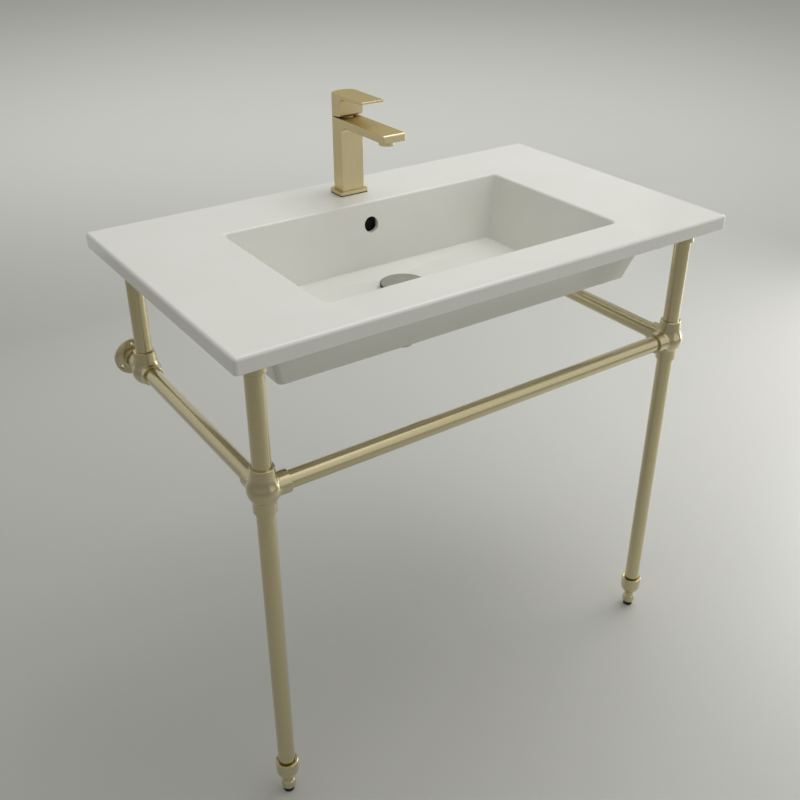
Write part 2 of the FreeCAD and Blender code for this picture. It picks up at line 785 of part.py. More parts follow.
def aerator():
    y = mixer_y - spout_reach + aerator_setback
    under = mixer_top - spout_thickness
    top = under + aerator_thread_length
    low = under - aerator_drop
    body = upright(aerator_diameter, 0, y, low, under)
    body = body.makeChamfer(aerator_chamfer, edges_at(body, low))
    body = body.fuse(upright(aerator_thread, 0, y, under, top))
    shelf = low + aerator_shelf
    mouth = aerator_bore - 2 * aerator_ledge
    body = body.cut([upright(aerator_bore, 0, y, shelf, top + 1), upright(mouth, 0, y, low - 1, top)])
    save("aerator_housing", body)
    screen = upright(aerator_bore - 2 * fit_clearance, 0, y, shelf, shelf + screen_thickness)
    limit = aerator_bore / 2 - screen_margin
    steps = int(limit / screen_pitch)
    holes = []
    for column in range(-steps, steps + 1):
        for row in range(-steps, steps + 1):
            px, py = column * screen_pitch, row * screen_pitch
            if math.hypot(px, py) <= limit - screen_hole / 2:
                holes.append(upright(screen_hole, px, y + py, shelf - 1, shelf + screen_thickness + 1))
    save("aerator_screen", screen.cut(holes))
    washer_top = top + aerator_washer_thickness
    save("aerator_washer", ring(aerator_thread, mouth, 0, y, top, washer_top))


def mounting_set():
    # Stud, rubber and steel horseshoes and nut that clamp the mixer to the deck from below.
    stud_y = mixer_y + stud_offset
    rubber_low = deck_under - horseshoe_thickness
    steel_low = rubber_low - horseshoe_thickness
    nut_low = steel_low - mounting_nut_height
    stud_top = mixer_foot + stud_engagement
    save("mounting_stud", upright(stud_diameter, 0, stud_y, nut_low - stud_tail, stud_top))
    slot_back = stud_y - stud_diameter / 2 - horseshoe_web
    bore = stud_diameter + 2 * fit_clearance
    for name, low in (("mounting_gasket", rubber_low), ("mounting_washer", steel_low)):
        plate = upright(horseshoe_diameter, 0, mixer_y, low, low + horseshoe_thickness)
        slot = block(-horseshoe_slot / 2, horseshoe_slot / 2, mixer_y - horseshoe_diameter, slot_back,
                     low - 1, low + horseshoe_thickness + 1)
        hole = upright(bore, 0, stud_y, low - 1, low + horseshoe_thickness + 1)
        save(name, plate.cut([slot, hole]))
    save("mounting_nut", hex_nut(mounting_nut_across, mounting_nut_height, bore, 0, stud_y, nut_low))


def cartridge():
    low = mixer_top - cartridge_depth
    nut_low = mixer_top - cartridge_nut_depth
    bore = cartridge_diameter - 2 * cartridge_wall
    floor = low + cartridge_floor
    housing = upright(cartridge_diameter, 0, mixer_y, low, nut_low)
    save("cartridge_housing", housing.cut(upright(bore, 0, mixer_y, floor, nut_low + 1)))
    dome = mixer_top + cartridge_nut_dome
    outer = cartridge_nut_diameter / 2
    hole = cartridge_nut_opening / 2
    edge = cartridge_nut_edge
    shoulder = (outer - edge, dome - cartridge_nut_slope)
    nut = lathe([(hole, nut_low), (outer, nut_low), (outer, dome - edge), shoulder, (hole, dome)])
    save("cartridge_nut", moved(nut, 0, mixer_y, 0))
    rotor_diameter = bore - 2 * running_clearance
    ports = [upright(disc_port, sign * rotor_diameter / 4, mixer_y, low, nut_low) for sign in (-1, 1)]
    fixed = upright(rotor_diameter, 0, mixer_y, floor, floor + disc_thickness)
    save("cartridge_fixed_disc", fixed.cut(ports))
    moving_low = floor + disc_thickness + running_clearance
    moving_top = moving_low + disc_thickness
    moving = upright(rotor_diameter, 0, mixer_y, moving_low, moving_top)
    save("cartridge_moving_disc", moving.cut(ports[0]))
    rotor_top = mixer_top - rotor_top_drop
    half = spindle_size / 2 + running_clearance
    rotor = upright(rotor_diameter, 0, mixer_y, moving_top, rotor_top)
    slot = block(-half, half, mixer_y - spindle_slot / 2, mixer_y + spindle_slot / 2,
                 pivot_z - spindle_below - 1, rotor_top + 1)
    pin_hole = cylinder(pivot_pin + 2 * fit_clearance, vec(-bore, mixer_y, pivot_z), X, 2 * bore)
    save("cartridge_rotor", rotor.cut([slot, pin_hole]))
    pin_length = rotor_diameter - 1
    save("lift_pivot_pin", cylinder(pivot_pin, vec(-pin_length / 2, mixer_y, pivot_z), X, pin_length))


def lever():
    front = mixer_y - mixer_front
    side_back = mixer_y + mixer_side_back
    back = side_back + mixer_back_bulge
    tip = mixer_y - lever_reach
    top = mixer_top + lever_height
    root = top - lever_root_thickness
    bottom = mixer_top + lever_front_gap
    heel = mixer_top + lever_back_gap
    cove_start, cove_end = yz(front - lever_fillet, root), yz(front, root - lever_fillet)
    edges = [line(yz(tip, top), yz(tip, top - lever_tip_thickness)),
             line(yz(tip, top - lever_tip_thickness), cove_start),
             quarter(cove_start, yz(front, root), cove_end),
             line(cove_end, yz(front, bottom + lever_chamfer)),
             line(yz(front, bottom + lever_chamfer), yz(front + lever_chamfer, bottom)),
             line(yz(front + lever_chamfer, bottom), yz(side_back, heel)),
             line(yz(side_back, heel), yz(back, heel)), line(yz(back, heel), yz(back, top)),
             line(yz(back, top), yz(tip, top))]
    body = side_profile(edges)
    body = body.common(prism(mixer_plan(mixer_top, 0, tip, lever_tip_corner), lever_height))
    body = body.makeFillet(lever_edge_round, edges_at(body, top))
    cavity_top = mixer_top + lever_cavity_height
    socket_half = spindle_size / 2 + fit_clearance
    spindle_top = pivot_z + spindle_above
    screw_z = (cavity_top + spindle_top) / 2
    screw_hole = lever_screw + 2 * fit_clearance
    cuts = [upright(lever_cavity, 0, mixer_y, mixer_top, cavity_top),
            block(-socket_half, socket_half, mixer_y - socket_half, mixer_y + socket_half,
                  cavity_top - 1, spindle_top),
            cylinder(screw_hole, vec(0, mixer_y, screw_z), Y, back - mixer_y + 1)]
    save("mixer_lever", body.cut(cuts))
    half = spindle_size / 2
    spindle = block(-half, half, mixer_y - half, mixer_y + half, pivot_z - spindle_below, spindle_top)
    pin_bore = pivot_pin + 2 * running_clearance
    pin_hole = cylinder(pin_bore, vec(-half - 1, mixer_y, pivot_z), X, spindle_size + 2)
    save("lever_spindle", spindle.cut(pin_hole))
    screw = cylinder(lever_screw, vec(0, mixer_y + half, screw_z), Y, lever_screw_length)
    save("lever_set_screw", screw)


def main():
    os.makedirs("parts", exist_ok=True)
    basin()
    waste_fitting()
    click_plug()
    console()
    mixer_base_pieces()
    mixer_body()
    aerator()
    mounting_set()
    cartridge()
    lever()


main()
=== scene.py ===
# %% [markdown]
# # A console bathroom sink
# A white glazed basin on a brass tube console, with a square single-lever mixer. The construction comes
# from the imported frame, in metres, with the wall behind the sink at +Y and the floor at z = 0. This
# lesson dresses it: finishes first, then the pieces whose edges and details the eye looks for, then light
# and camera.

import json
import math

import bmesh
import bpy
from mathutils import Matrix, Vector


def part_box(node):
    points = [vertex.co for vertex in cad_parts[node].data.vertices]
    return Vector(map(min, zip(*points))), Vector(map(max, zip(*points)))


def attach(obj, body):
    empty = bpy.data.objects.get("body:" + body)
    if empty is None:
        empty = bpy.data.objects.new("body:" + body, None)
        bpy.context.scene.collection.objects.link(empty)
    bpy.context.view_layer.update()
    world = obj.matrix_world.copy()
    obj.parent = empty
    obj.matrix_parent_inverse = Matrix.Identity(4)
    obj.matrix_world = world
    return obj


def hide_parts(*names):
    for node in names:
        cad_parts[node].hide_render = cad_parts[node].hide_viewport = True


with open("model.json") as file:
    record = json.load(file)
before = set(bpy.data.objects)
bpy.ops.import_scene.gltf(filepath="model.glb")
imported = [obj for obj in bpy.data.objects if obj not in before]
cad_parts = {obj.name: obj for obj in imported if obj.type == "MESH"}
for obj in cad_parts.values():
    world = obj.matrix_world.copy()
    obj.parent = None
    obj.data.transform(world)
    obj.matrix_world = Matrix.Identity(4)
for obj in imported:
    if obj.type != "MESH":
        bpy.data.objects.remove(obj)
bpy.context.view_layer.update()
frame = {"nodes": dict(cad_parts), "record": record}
nodes = frame["nodes"]
record = frame["record"]
slot_of = {subpart["node"]: subpart["material_slot"] for subpart in record["subparts"]}
body_of = {node: body for body, group in record["behaviour"]["bodies"].items() for node in group}
MM = 0.001

# %% [markdown]
# ## Colour and nodes
# Colours are written as sRGB hex values, the way a paint card gives them. Shaders want linear light, so
# one function converts them. One more function adds a shader node with its settings and links, which
# keeps every finish below readable as a short list of what it is made of.

# %% Helpers for finishes


def linear(hex_colour):
    channels = [int(hex_colour[i:i + 2], 16) / 255 for i in (1, 3, 5)]
    return [c / 12.92 if c <= 0.04045 else ((c + 0.055) / 1.055) ** 2.4 for c in channels] + [1.0]


def add(tree, kind, settings=None, inputs=None):
    node = tree.nodes.new(kind)
    for name, value in (settings or {}).items():
        setattr(node, name, value)
    for name, value in (inputs or {}).items():
        if isinstance(value, bpy.types.NodeSocket):
            tree.links.new(value, node.inputs[name])
        else:
            node.inputs[name].default_value = value
    return node


def new_finish(name, roughness, metallic=0.0):
    material = bpy.data.materials.new(name)
    material.use_nodes = True
    tree = material.node_tree
    shader = tree.nodes["Principled BSDF"]
    shader.inputs["Roughness"].default_value = roughness
    shader.inputs["Metallic"].default_value = metallic
    place = add(tree, "ShaderNodeTexCoord").outputs["Object"]
    return material, tree, shader, place


print("middle grey in linear light:", round(linear("#808080")[0], 3))

# %% [markdown]
# ## Grain
# Making a surface leaves a grain on it: clouds in a glaze, lines on brushed metal, pebbles on a moulding.
# One noise texture can be all three. It reads Object coordinates, in metres, so the size of a grain is a
# real size. The grain then tints the colour, varies the roughness or raises the surface, as it does on
# the real thing.

# %% Grain and how it shows
ALL_WAYS = (1, 1, 1)
NOISE_LOW, NOISE_HIGH = 0.3, 0.7


def grain(tree, place, size, stretch=ALL_WAYS, detail=2.0):
    # Grains are `size` mm across, and drawn out along an axis where their stretch is below 1.
    drawn = add(tree, "ShaderNodeMapping", {"vector_type": "POINT"}, {"Vector": place, "Scale": stretch})
    noise = {"Vector": drawn.outputs["Vector"], "Scale": 1 / (size * MM), "Detail": detail}
    return add(tree, "ShaderNodeTexNoise", None, noise).outputs["Fac"]


def show_grain(tree, shader, pattern, colours=None, roughness=None, relief=None):
    # Colours and roughness are pairs, and relief is a depth in mm with a strength. Most of a noise lies
    # between its low and its high, so that stretch is spread over the whole pair.
    noise = {"Value": pattern, "From Min": NOISE_LOW, "From Max": NOISE_HIGH}
    if colours:
        share = add(tree, "ShaderNodeMapRange", {"clamp": True}, {**noise, "To Min": 0, "To Max": 1})
        mix = {"Factor": share.outputs["Result"], "A": linear(colours[0]), "B": linear(colours[1])}
        tint = add(tree, "ShaderNodeMix", {"data_type": "RGBA"}, mix)
        tree.links.new(tint.outputs["Result"], shader.inputs["Base Color"])
    if roughness:
        ends = {"To Min": roughness[0], "To Max": roughness[1]}
        dulled = add(tree, "ShaderNodeMapRange", {"clamp": True}, {**noise, **ends})
        tree.links.new(dulled.outputs["Result"], shader.inputs["Roughness"])
    if relief:
        raised = {"Height": pattern, "Distance": relief[0] * MM, "Strength": relief[1]}
        bump = add(tree, "ShaderNodeBump", None, raised)
        tree.links.new(bump.outputs["Normal"], shader.inputs["Normal"])


print("noise spread from", NOISE_LOW, "to", NOISE_HIGH)

# %% [markdown]
# ## Glazed vitreous china
# The basin is slip-cast china under a white glaze that was sprayed on and fired. The glaze is glass, so
# it has a sharp sheen over a diffuse white, with a faint swell of a few centimetres left by casting, a
# finer ripple from spraying, and a slight warm-to-cool mottling. All three are kept so faint that they
# only show where a reflection runs over the surface. Inside the overflow duct the spray gun never
# reaches: there the body stays porous and dull, and it is painted near black as painted shade for the
# darkness deep in the duct.

# %% China finishes
MOTTLE_SIZE, RIPPLE_SIZE, SWELL_SIZE = 90, 7, 60
GLAZE_ROUGHNESS = (0.12, 0.17)
SWELL_RELIEF = (0.06, 0.2)
GLAZE_IOR = 1.52
# The duct's near-black colours are painted shade for the dark inside of the duct; its dullness and pores
# are the bare china's own.
DUCT_SHADE_MOTTLE_SIZE, PORE_SIZE = 6, 0.8
PORE_RELIEF = (0.05, 0.5)
BARE_ROUGHNESS = 0.9


def glazed_china():
    material, tree, shader, place = new_finish("glazed_vitreous_china", GLAZE_ROUGHNESS[0])
    show_grain(tree, shader, grain(tree, place, MOTTLE_SIZE), colours=("#E7E7E1", "#E4E4DD"))
    show_grain(tree, shader, grain(tree, place, RIPPLE_SIZE), roughness=GLAZE_ROUGHNESS)
    show_grain(tree, shader, grain(tree, place, SWELL_SIZE, detail=1.0), relief=SWELL_RELIEF)
    shader.inputs["IOR"].default_value = GLAZE_IOR
    return material


def painted_shade_duct_china():
    material, tree, shader, place = new_finish("unglazed_china_painted_shade", BARE_ROUGHNESS)
    # Painted shade: two near-black tones stand in for the darkness deep in the duct.
    show_grain(tree, shader, grain(tree, place, DUCT_SHADE_MOTTLE_SIZE), colours=("#1E1C19", "#2C2A26"))
    show_grain(tree, shader, grain(tree, place, PORE_SIZE), relief=PORE_RELIEF)
    return material


finishes = {"glazed_ceramic": glazed_china()}
# The duct's finish is painted shade over bare, porous china.
duct_painted_shade = painted_shade_duct_china()
print("china:", finishes["glazed_ceramic"].name, duct_painted_shade.name)

# %% [markdown]
# ## Champagne brass
# Nearly all visible metal is brass in a pale champagne tone. The console's tubes and fittings are
# belt-polished to a soft sheen and lacquered: reflections keep their place but lose their edges, and the
# smoother lacquer lays a thin sharp one over them. The mixer is brushed harder and has no lacquer, so its
# flat faces look satin; its tint at grazing angles is its own gold, so that the edges don't turn white.
# Brushing leaves fine parallel lines, so its grain is drawn out along one axis. Real brush lines are
# about 0.1 mm apart and would vanish at this distance, so they are drawn about 1 mm apart.

# %% Brass finishes
METAL = 1.0
STREAK_DETAIL = 3.0
ROUGHNESS_SWING = 0.02
POLISHED_COLOURS, POLISHED_ROUGHNESS, POLISHED_GRAIN = ("#CBBF97", "#C6B990"), 0.24, 3.0
BRUSHED_COLOURS, BRUSHED_ROUGHNESS, BRUSHED_GRAIN = ("#E0D2AC", "#D9CAA2"), 0.4, 0.9
BRUSHED_RELIEF = (0.0015, 0.1)
LACQUER, LACQUER_ROUGHNESS = 1.0, 0.12
ALONG_X, ALONG_Z = (0.02, 1, 1), (1, 1, 0.02)


def champagne_brass(name, colours, roughness, size, lines):
    material, tree, shader, place = new_finish(name, roughness, METAL)
    streaks = grain(tree, place, size, lines, STREAK_DETAIL)
    show_grain(tree, shader, streaks, colours, (roughness - ROUGHNESS_SWING, roughness + ROUGHNESS_SWING))
    return material, tree, shader, streaks


def polished_brass(name):
    look = (POLISHED_COLOURS, POLISHED_ROUGHNESS, POLISHED_GRAIN, ALL_WAYS)
    material, _, shader, _ = champagne_brass(name, *look)
    shader.inputs["Coat Weight"].default_value = LACQUER
    shader.inputs["Coat Roughness"].default_value = LACQUER_ROUGHNESS
    return material


def brushed_brass(name, lines):
    look = (BRUSHED_COLOURS, BRUSHED_ROUGHNESS, BRUSHED_GRAIN, lines)
    material, tree, shader, streaks = champagne_brass(name, *look)
    show_grain(tree, shader, streaks, relief=BRUSHED_RELIEF)
    shader.inputs["Specular Tint"].default_value = linear(BRUSHED_COLOURS[1])
    return material


finishes["brushed_brass"] = polished_brass("polished_champagne_brass")
brass_across = brushed_brass("brass_brushed_across", ALONG_X)
brass_upright = brushed_brass("brass_brushed_upright", ALONG_Z)
print("brass:", finishes["brushed_brass"].name, brass_across.name, brass_upright.name)

# %% [markdown]
# ## The small materials
# Chrome on the waste, stainless screws, black rubber gaskets, white acetal and lapped alumina inside the
# cartridge, and black nylon under the feet. Each gets the mark that its making leaves: wiped water haze
# on chrome, turning lines on steel, moulding grain on rubber and plastics, a lapped matte on the discs.

# %% Small finishes
GRAIN_STRENGTH = 0.3
DULLEST, GLOSSIEST = 1.2, 0.8
TURNED = (0.1, 0.1, 1)

# Per slot: name, two colours, roughness, size and depth of the grain in mm, then metallic and stretch.
SMALL_FINISHES = {
    "chrome": ("polished_chrome", "#C4C3BE", "#B9B8B3", 0.09, 14, 0.004, METAL),
    "black_rubber": ("moulded_black_rubber", "#1B1B1A", "#232322", 0.7, 0.9, 0.03),
    "white_acetal": ("moulded_white_acetal", "#E2E2DB", "#DADAD2", 0.42, 2.5, 0.01),
    "stainless_steel": ("satin_stainless", "#B4B3AF", "#A3A29E", 0.3, 0.6, 0.01, METAL, TURNED),
    "alumina": ("lapped_alumina", "#EBEAE3", "#E2E1DA", 0.25, 0.5, 0.005),
    "black_nylon": ("moulded_black_nylon", "#171717", "#202020", 0.5, 0.8, 0.02),
}


def small_finish(name, first, second, roughness, size, depth, metallic=0.0, stretch=ALL_WAYS):
    material, tree, shader, place = new_finish(name, roughness, metallic)
    pattern = grain(tree, place, size, stretch)
    gloss = (roughness * GLOSSIEST, roughness * DULLEST)
    show_grain(tree, shader, pattern, (first, second), gloss, (depth, GRAIN_STRENGTH))
    return material


for slot, look in SMALL_FINISHES.items():
    finishes[slot] = small_finish(*look)
print("finishes:", ", ".join(sorted(material.name for material in bpy.data.materials)))

# %% [markdown]
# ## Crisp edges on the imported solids
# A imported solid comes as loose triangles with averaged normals, so flat faces next to rounds look smeared
# and rims look soft. A copy of it is merged, its flat triangles are joined to whole faces, hard rims get
# a tiny round that catches light as a real arris does, and a Weighted Normal modifier lets the large
# faces rule the shading. Apart from these rounds the shape stays the solid's own.

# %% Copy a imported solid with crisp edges
MERGE = 0.002 * MM
FLAT_ANGLE = math.radians(0.4)
RIM_ANGLE = math.radians(33)
EDGE_SEGMENTS = 2
EDGE_ROUNDS = {"mixer_body": 0.5, "mixer_lever": 0.5, "mixer_base_plate": 0.3, "aerator_housing": 0.4,
               "waste_locknut": 0.6, "mounting_nut": 0.5, "mounting_washer": 0.4, "waste_washer": 0.3,
               "waste_tailpiece": 0.3}
MIXER_BRASS = {"mixer_body": brass_upright, "mixer_lever": brass_across, "mixer_base_plate": brass_across,
               "aerator_housing": brass_upright, "cartridge_nut": brass_upright}
dressed = {}


def merged_copy(name):
    mesh = bmesh.new()
    mesh.from_mesh(nodes[name].data)
    bmesh.ops.remove_doubles(mesh, verts=mesh.verts, dist=MERGE)
    return mesh


def join_flats(mesh):
    bmesh.ops.dissolve_limit(mesh, angle_limit=FLAT_ANGLE, verts=mesh.verts, edges=mesh.edges)


def dress(name, mesh):
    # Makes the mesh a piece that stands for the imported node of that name.
    for edge in mesh.edges:
        edge.smooth = not edge.is_manifold or edge.calc_face_angle() < RIM_ANGLE
    for face in mesh.faces:
        face.smooth = True
    data = bpy.data.meshes.new(name + "_dressed")
    mesh.to_mesh(data)
    mesh.free()
    for attribute in [a.name for a in data.attributes if a.name == "custom_normal"]:
        data.attributes.remove(data.attributes[attribute])
    data.materials.clear()
    data.materials.append(MIXER_BRASS.get(name, finishes[slot_of[name]]))
    piece = bpy.data.objects.new(name + "_dressed", data)
    bpy.context.scene.collection.objects.link(piece)
    weighted = piece.modifiers.new("weighted_normals", "WEIGHTED_NORMAL")
    weighted.keep_sharp = True
    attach(piece, body_of[name])
    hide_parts(name)
    dressed[name] = piece


def dress_crisp(name, mesh):
    join_flats(mesh)
    if name in EDGE_ROUNDS:
        rims = [edge for edge in mesh.edges if edge.is_manifold and edge.calc_face_angle() > RIM_ANGLE]
        bmesh.ops.bevel(mesh, geom=rims, offset=EDGE_ROUNDS[name] * MM, segments=EDGE_SEGMENTS, profile=0.5,
                        affect="EDGES", material=-1, clamp_overlap=True)
    dress(name, mesh)


print("rounded solids:", len(EDGE_ROUNDS))

# %% [markdown]
# ## The plain solids
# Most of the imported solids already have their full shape, so a crisp copy is all that they need. The ones
# that get more than that are left to the cells further down.

# %% Dress the plain solids
CORNERS = [f"{side}_{end}" for side in ("left", "right") for end in ("front", "rear")]
DECK_SLEEVES = [corner + "_deck_flange" for corner in CORNERS]
FITTINGS = [corner + "_fitting" for corner in CORNERS]
FEET = ("left_levelling_foot", "right_levelling_foot")
MADE_BELOW = {*DECK_SLEEVES, *FITTINGS, *FEET, "mixer_body", "mixer_base_plate", "mixer_base_gasket",
              "plug_cap", "plug_seal", "waste_body", "mounting_stud", "fitting_set_screws",
              "lever_set_screw"}
for name in sorted(set(nodes) - MADE_BELOW):
    dress_crisp(name, merged_copy(name))
face_count = sum(len(piece.data.polygons) for piece in dressed.values())
print("dressed solids:", len(dressed), "faces:", face_count)

# %% [markdown]
# ## The overflow duct
# Behind the round overflow hole a duct runs down to the waste. It is deep and unglazed, and its faces
# are painted near black as painted shade, which is why the hole looks black. The faces that lie inside
# the duct get this painted shade; the hole's own wall keeps its glaze.

# %% Painted shade in the overflow duct
DUCT_HALF_WIDTH = 17.2 * MM
DUCT_FRONT, DUCT_BACK = 117.9 * MM, 128.3 * MM
DUCT_TOP = 752.7 * MM

basin = dressed["basin"]
basin.data.materials.append(duct_painted_shade)
inside = 0
for face in basin.data.polygons:
    x, y, z = face.center
    if abs(x) < DUCT_HALF_WIDTH and DUCT_FRONT < y < DUCT_BACK and z < DUCT_TOP:
        # These faces get the near-black painted shade.
        face.material_index = 1
        inside += 1
print("duct faces:", inside)

# %% [markdown]
# ## The mixer's foot
# The mixer stands on a thin base plate whose flat ledge runs all round the foot. So the plate is cut down
# to its rim height and spread a little, with the gasket below it, and the body reaches down to the plate.
# A cut at a height is one bisect, which leaves two open rims; bridging these makes the new flat top.

# %% Base plate, gasket and body
PLATE_TOP = 782.8
PLATE_SPREAD = (1.075, 1.015, 1)
BODY_DROP = 3.4


def box_mm(name):
    low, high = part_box(name)
    return [value / MM for value in low], [value / MM for value in high]


def middle_of(name):
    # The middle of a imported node's box, in metres.
    low, high = box_mm(name)
    return Vector([(a + b) / 2 for a, b in zip(low, high)]) * MM


def spread_out(mesh, centre, shares):
    bmesh.ops.scale(mesh, verts=mesh.verts, vec=shares, space=Matrix.Translation(-centre))


def keep_side(mesh, height, above):
    # Cuts a mesh at a height in mm, keeps what lies above or below it, and returns the open edges.
    everything = mesh.verts[:] + mesh.edges[:] + mesh.faces[:]
    bmesh.ops.bisect_plane(mesh, geom=everything, plane_co=(0, 0, height * MM), plane_no=(0, 0, 1),
                           clear_outer=not above, clear_inner=above)
    return [edge for edge in mesh.edges if edge.is_boundary]


plate_centre = middle_of("mixer_base_plate")
plate = merged_copy("mixer_base_plate")
bmesh.ops.bridge_loops(plate, edges=keep_side(plate, PLATE_TOP, above=False))
spread_out(plate, plate_centre, PLATE_SPREAD)
dress_crisp("mixer_base_plate", plate)

gasket = merged_copy("mixer_base_gasket")
spread_out(gasket, plate_centre, PLATE_SPREAD)
dress_crisp("mixer_base_gasket", gasket)

body = merged_copy("mixer_body")
body_low = box_mm("mixer_body")[0][2] * MM
sole = [vert for vert in body.verts if vert.co.z < body_low + MERGE]
bmesh.ops.translate(body, verts=sole, vec=(0, 0, -BODY_DROP * MM))
print("points of the body's sole:", len(sole))
dress_crisp("mixer_body", body)

# %% [markdown]
# ## Plug edge and deck sleeves
# The plug's rubber seal stands out round the chrome cap as a thin black line, so the cap is drawn in and
# the seal let out by about a millimetre. The sleeve at the top of each post just shows below the apron,
# so its lower end reaches further down.

# %% Cap, seal and sleeves
CAP_SHARE, SEAL_SHARE = 0.962, 1.045
SLEEVE_END, SLEEVE_DROP = 740.0, 5.5

for name, share in (("plug_cap", CAP_SHARE), ("plug_seal", SEAL_SHARE)):
    mesh = merged_copy(name)
    spread_out(mesh, middle_of(name), (share, share, 1))
    dress_crisp(name, mesh)

for name in DECK_SLEEVES:
    mesh = merged_copy(name)
    end = [vert for vert in mesh.verts if vert.co.z < SLEEVE_END * MM]
    bmesh.ops.translate(mesh, verts=end, vec=(0, 0, -SLEEVE_DROP * MM))
    print("end points of", name, len(end))
    dress_crisp(name, mesh)

# %% [markdown]
# ## Pear-shaped necks
# On each ball fitting the upper socket swells into the ball in one soft line, like the neck of a pear.
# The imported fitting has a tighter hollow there. The wanted line is a wide arc that touches the socket
# above and the ball below, so each point of the skin that lies inside that arc is pushed straight out to
# it. The bores stay as they are.

# %% Necks of the ball fittings
BALL_RADIUS, SOCKET_RADIUS, NECK_ARC = 22.5, 16.2, 60.0
SKIN_RADIUS, SKIN_SLACK = 15.0, 0.2
arc_out = SOCKET_RADIUS + NECK_ARC
arc_up = math.sqrt((BALL_RADIUS + NECK_ARC) ** 2 - arc_out ** 2)
arc_foot = arc_up * BALL_RADIUS / (BALL_RADIUS + NECK_ARC)


def swell_neck(mesh, centre):
    # Lengths are in mm from the ball's centre. Returns how many points were pushed out.
    pushed = 0
    for vert in mesh.verts:
        spot = (vert.co - centre) / MM
        radius = math.hypot(spot.x, spot.y)
        on_skin = radius >= SKIN_RADIUS and spot.length >= BALL_RADIUS - SKIN_SLACK
        if not on_skin or not arc_foot < spot.z < arc_up:
            continue
        wanted = arc_out - math.sqrt(NECK_ARC ** 2 - (arc_up - spot.z) ** 2)
        if radius < wanted:
            vert.co.x += spot.x * (wanted / radius - 1) * MM
            vert.co.y += spot.y * (wanted / radius - 1) * MM
            pushed += 1
    return pushed


rail_height = middle_of("front_rail").z
for name in FITTINGS:
    centre = middle_of(name.replace("fitting", "post"))
    centre.z = rail_height
    mesh = merged_copy(name)
    print("neck points of", name, swell_neck(mesh, centre))
    dress_crisp(name, mesh)

# %% [markdown]
# ## Screw threads
# Three things on a sink are screwed by hand: the levelling feet, the waste under the bowl and the stud
# that clamps the mixer. A thread is one short zigzag, a pitch high, that is turned about its axis while
# it climbs by its own height, so one spin operator with an offset makes a turn. The turn is duplicated up
# the axis, and merging the doubles joins each turn to the next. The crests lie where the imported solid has
# its plain cylinder, so nothing grows.

# %% Thread helper
THREAD_STEPS = 40

# Points of the zigzag, as shares of the pitch and of the depth.
THREAD_PROFILE = ((0.0, 0.0), (0.14, 0.0), (0.46, 1.0), (0.66, 1.0), (1.0, 0.0))


def thread_surface(mesh, radius, depth, pitch, low, high):
    # Turns the zigzag up an axis at x = y = 0, and returns its lower and upper rim.
    turns = round((high - low) / pitch) - 1
    chain = []
    for up, out in THREAD_PROFILE:
        chain.append(mesh.verts.new(((radius - depth * (1 - out)) * MM, 0, (low + up * pitch) * MM)))
    edges = [mesh.edges.new(pair) for pair in zip(chain, chain[1:])]
    bmesh.ops.spin(mesh, geom=chain + edges, cent=(0, 0, 0), axis=(0, 0, 1), angle=math.tau,
                   steps=THREAD_STEPS, dvec=(0, 0, pitch * MM / THREAD_STEPS), use_merge=False)
    first_turn = mesh.verts[:] + mesh.edges[:] + mesh.faces[:]
    for turn in range(1, turns):
        copied = bmesh.ops.duplicate(mesh, geom=first_turn)["geom"]
        points = [item for item in copied if isinstance(item, bmesh.types.BMVert)]
        bmesh.ops.translate(mesh, verts=points, vec=(0, 0, turn * pitch * MM))
    bmesh.ops.remove_doubles(mesh, verts=mesh.verts, dist=MERGE)
    rims = [edge for edge in mesh.edges if edge.is_boundary]
    middle = (low + high) / 2 * MM
    return [[edge for edge in rims if (edge.verts[0].co.z < middle) == lower] for lower in (True, False)]


def close_to_axis(mesh, rim, height):
    # Draws an open rim in to one point on the axis.
    grown = bmesh.ops.extrude_edge_only(mesh, edges=rim)["geom"]
    points = [item for item in grown if isinstance(item, bmesh.types.BMVert)]
    bmesh.ops.pointmerge(mesh, verts=points, merge_co=(0, 0, height * MM))


def threaded_rod(radius, depth, pitch, low, high):
    mesh = bmesh.new()
    lower, upper = thread_surface(mesh, radius, depth, pitch, low, high)
    close_to_axis(mesh, lower, low)
    close_to_axis(mesh, upper, high)
    bmesh.ops.recalc_face_normals(mesh, faces=mesh.faces)
    return mesh


print("thread steps per turn:", THREAD_STEPS)

# %% [markdown]
# ## Levelling feet
# Each foot is a turned ball and neck on a brass screw. At rest the screw hides in the collar and the leg;
# when the foot is turned out to level the sink, it shows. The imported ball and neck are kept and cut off
# just above the neck, and a real thread takes the stem's place.

# %% Feet with screw stems
FOOT_PITCH, FOOT_DEPTH = 1.5, 0.85
NECK_TOP, NECK_TRIM = 31.7, 0.05
STEM_RADIUS, STEM_SUNK = 5.0, 1.0


def join(mesh, other, name):
    # Adds another mesh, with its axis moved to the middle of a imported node.
    low, high = box_mm(name)
    x, y, _ = [(a + b) / 2 * MM for a, b in zip(low, high)]
    bmesh.ops.translate(other, verts=other.verts, vec=(x, y, 0))
    spare = bpy.data.meshes.new("spare")
    other.to_mesh(spare)
    other.free()
    mesh.from_mesh(spare)
    bpy.data.meshes.remove(spare)


for name in FEET:
    stem_top = box_mm(name)[1][2]
    mesh = merged_copy(name)
    bmesh.ops.holes_fill(mesh, edges=keep_side(mesh, NECK_TOP + NECK_TRIM, above=False))
    join_flats(mesh)
    stem = threaded_rod(STEM_RADIUS, FOOT_DEPTH, FOOT_PITCH, NECK_TOP - STEM_SUNK, stem_top)
    join(mesh, stem, name)
    dress(name, mesh)
print("feet:", [len(dressed[name].data.polygons) for name in FEET])

# %% [markdown]
# ## Waste body and mixer stud
# Under the bowl the chrome waste ends in a coarse thread that the locknut runs on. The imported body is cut
# inside the nut, where nobody sees the joint, and a threaded sleeve goes on below. The stud under the
# mixer is a plain length of threaded rod.

